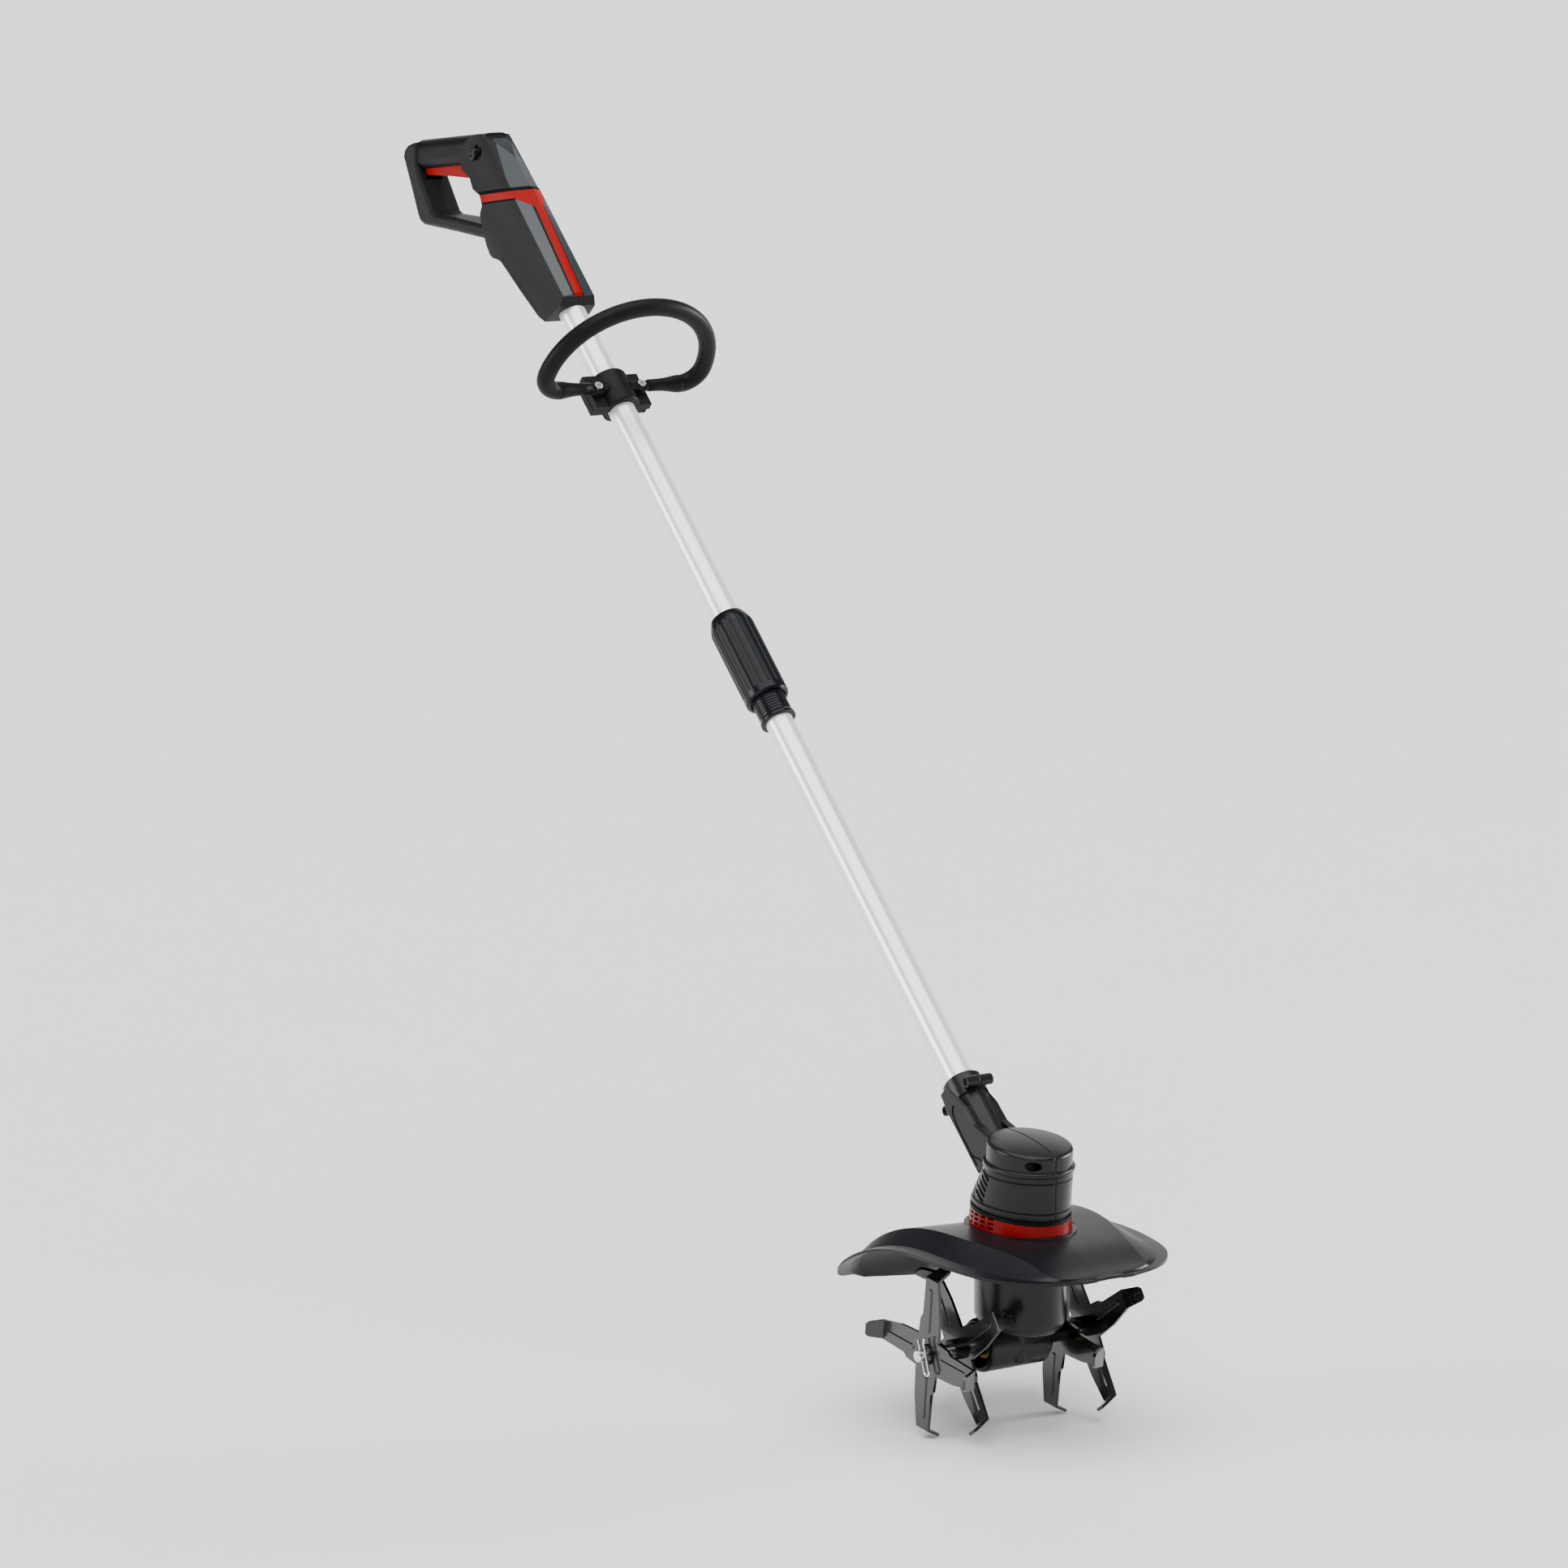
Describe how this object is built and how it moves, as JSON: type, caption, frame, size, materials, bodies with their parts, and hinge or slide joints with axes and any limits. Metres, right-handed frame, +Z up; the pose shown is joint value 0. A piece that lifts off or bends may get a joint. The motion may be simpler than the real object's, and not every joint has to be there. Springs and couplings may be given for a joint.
{
  "type": "cordless garden tiller",
  "caption": "Battery garden tiller: D-handle with trigger and clip-on battery, telescoped aluminium pole with screw union, loop handle, motor head, guard and bent-tip tine stars.",
  "frame": {"origin": "middle of the tine axle", "axes": "+X along the tine axle, to the left of the user who stands behind; +Y to the rear, towards the user; +Z up"},
  "size_m": [0.2312, 1.2747, 1.1877],
  "materials": {
    "charcoal_plastic": "fine-textured moulded plastic",
    "black_plastic": "satin moulded plastic",
    "red_plastic": "semi-gloss moulded plastic",
    "grip_rubber": "soft matt overmould",
    "pole_aluminium": "satin anodised tube",
    "inner_plastic": "plain moulded plastic",
    "cable_rubber": "cable sheath",
    "zinc_steel": "bright zinc plate",
    "motor_steel": "plated steel",
    "bronze": "sintered bronze",
    "tine_paint": "gloss black coating on pressed steel"
  },
  "bodies": {
    "machine": {"handle_shell_left": "charcoal_plastic", "handle_shell_right": "charcoal_plastic", "head_shell_left": "charcoal_plastic", "head_shell_right": "charcoal_plastic", "guard": "black_plastic", "gear_case": "black_plastic", "coupling_neck": "black_plastic", "coupling_spigot": "black_plastic", "ring_band": "red_plastic", "stripe": "red_plastic", "vent_ring": "red_plastic", "grip_sleeve": "grip_rubber", "upper_tube": "pole_aluminium", "lower_tube": "pole_aluminium", "switch": "inner_plastic", "lower_connector": "inner_plastic", "upper_connector": "inner_plastic", "contact_block": "inner_plastic", "controller": "inner_plastic", "lower_cable": "cable_rubber", "upper_cable": "cable_rubber", "trigger_pin": "zinc_steel", "shell_screws": "zinc_steel", "head_screws": "zinc_steel", "guard_screws": "zinc_steel", "motor_plate": "motor_steel", "motor_can": "motor_steel", "axle_bushes": "bronze"},
    "tines": {"axle": "zinc_steel", "worm_wheel": "bronze", "tine_outer_right": "tine_paint", "tine_inner_right": "tine_paint", "tine_inner_left": "tine_paint", "tine_outer_left": "tine_paint", "hairpins": "zinc_steel"},
    "rotor": {"rotor_shaft": "motor_steel", "fan": "inner_plastic"},
    "trigger": {"trigger": "red_plastic"},
    "plunger": {"switch_plunger": "inner_plastic"},
    "lock": {"lock_button": "black_plastic"},
    "battery_pack": {"battery": "black_plastic"},
    "latch": {"battery_latch": "black_plastic"},
    "loop_handle": {"loop_saddle": "black_plastic", "loop_grip": "grip_rubber", "loop_clamp": "black_plastic", "clamp_screws": "zinc_steel", "clamp_nuts": "zinc_steel"},
    "union_ring": {"thrust_ring": "inner_plastic"},
    "union": {"union_nut": "black_plastic"}
  },
  "joints": [
    {"name": "tine_spin", "type": "hinge", "parent": "machine", "child": "tines", "pos_m": [0, 0, 0], "axis": [1, 0, 0], "continuous": true},
    {"name": "rotor_spin", "type": "hinge", "parent": "machine", "child": "rotor", "pos_m": [0, -0.019, 0], "axis": [0, 0, 1], "continuous": true},
    {"name": "trigger_pull", "type": "hinge", "parent": "machine", "child": "trigger", "pos_m": [0, 0.96624, 1.07212], "axis": [1, 0, 0], "range_deg": [0, 3.5], "stiffness_Nm_per_rad": 2, "springref_deg": -3.44},
    {"name": "plunger_slide", "type": "slide", "parent": "machine", "child": "plunger", "axis": [0, 0, 1], "range_m": [0, 0.0026]},
    {"name": "lock_press", "type": "slide", "parent": "machine", "child": "lock", "axis": [1, 0, 0], "range_m": [0, 0.0035], "stiffness_N_per_m": 600, "springref_m": -0.002},
    {"name": "battery_slide", "type": "slide", "parent": "machine", "child": "battery_pack", "axis": [0, 0.6947, -0.7193], "range_m": [0, 0.06]},
    {"name": "latch_press", "type": "slide", "parent": "battery_pack", "child": "latch", "axis": [0, -0.7193, -0.6947], "range_m": [0, 0.0032], "stiffness_N_per_m": 700, "springref_m": -0.002},
    {"name": "loop_slide", "type": "slide", "parent": "machine", "child": "loop_handle", "axis": [0, 0.7193, 0.6947], "range_m": [-0.2, 0.06]},
    {"name": "union_slide", "type": "slide", "parent": "machine", "child": "union_ring", "axis": [0, 0.7193, 0.6947], "range_m": [0, 0.012]},
    {"name": "union_turn", "type": "hinge", "parent": "union_ring", "child": "union", "pos_m": [0, 0.45519, 0.59949], "axis": [0, 0.7193, 0.6947], "range_deg": [0, 1440]}
  ],
  "couplings": [
    {"joint": "rotor_spin", "follows": "tine_spin", "ratio": 28},
    {"joint": "plunger_slide", "follows": "trigger_pull", "m_per_rad": 0.04},
    {"joint": "union_slide", "follows": "union_turn", "m_per_rad": 0.00047746}
  ]
}
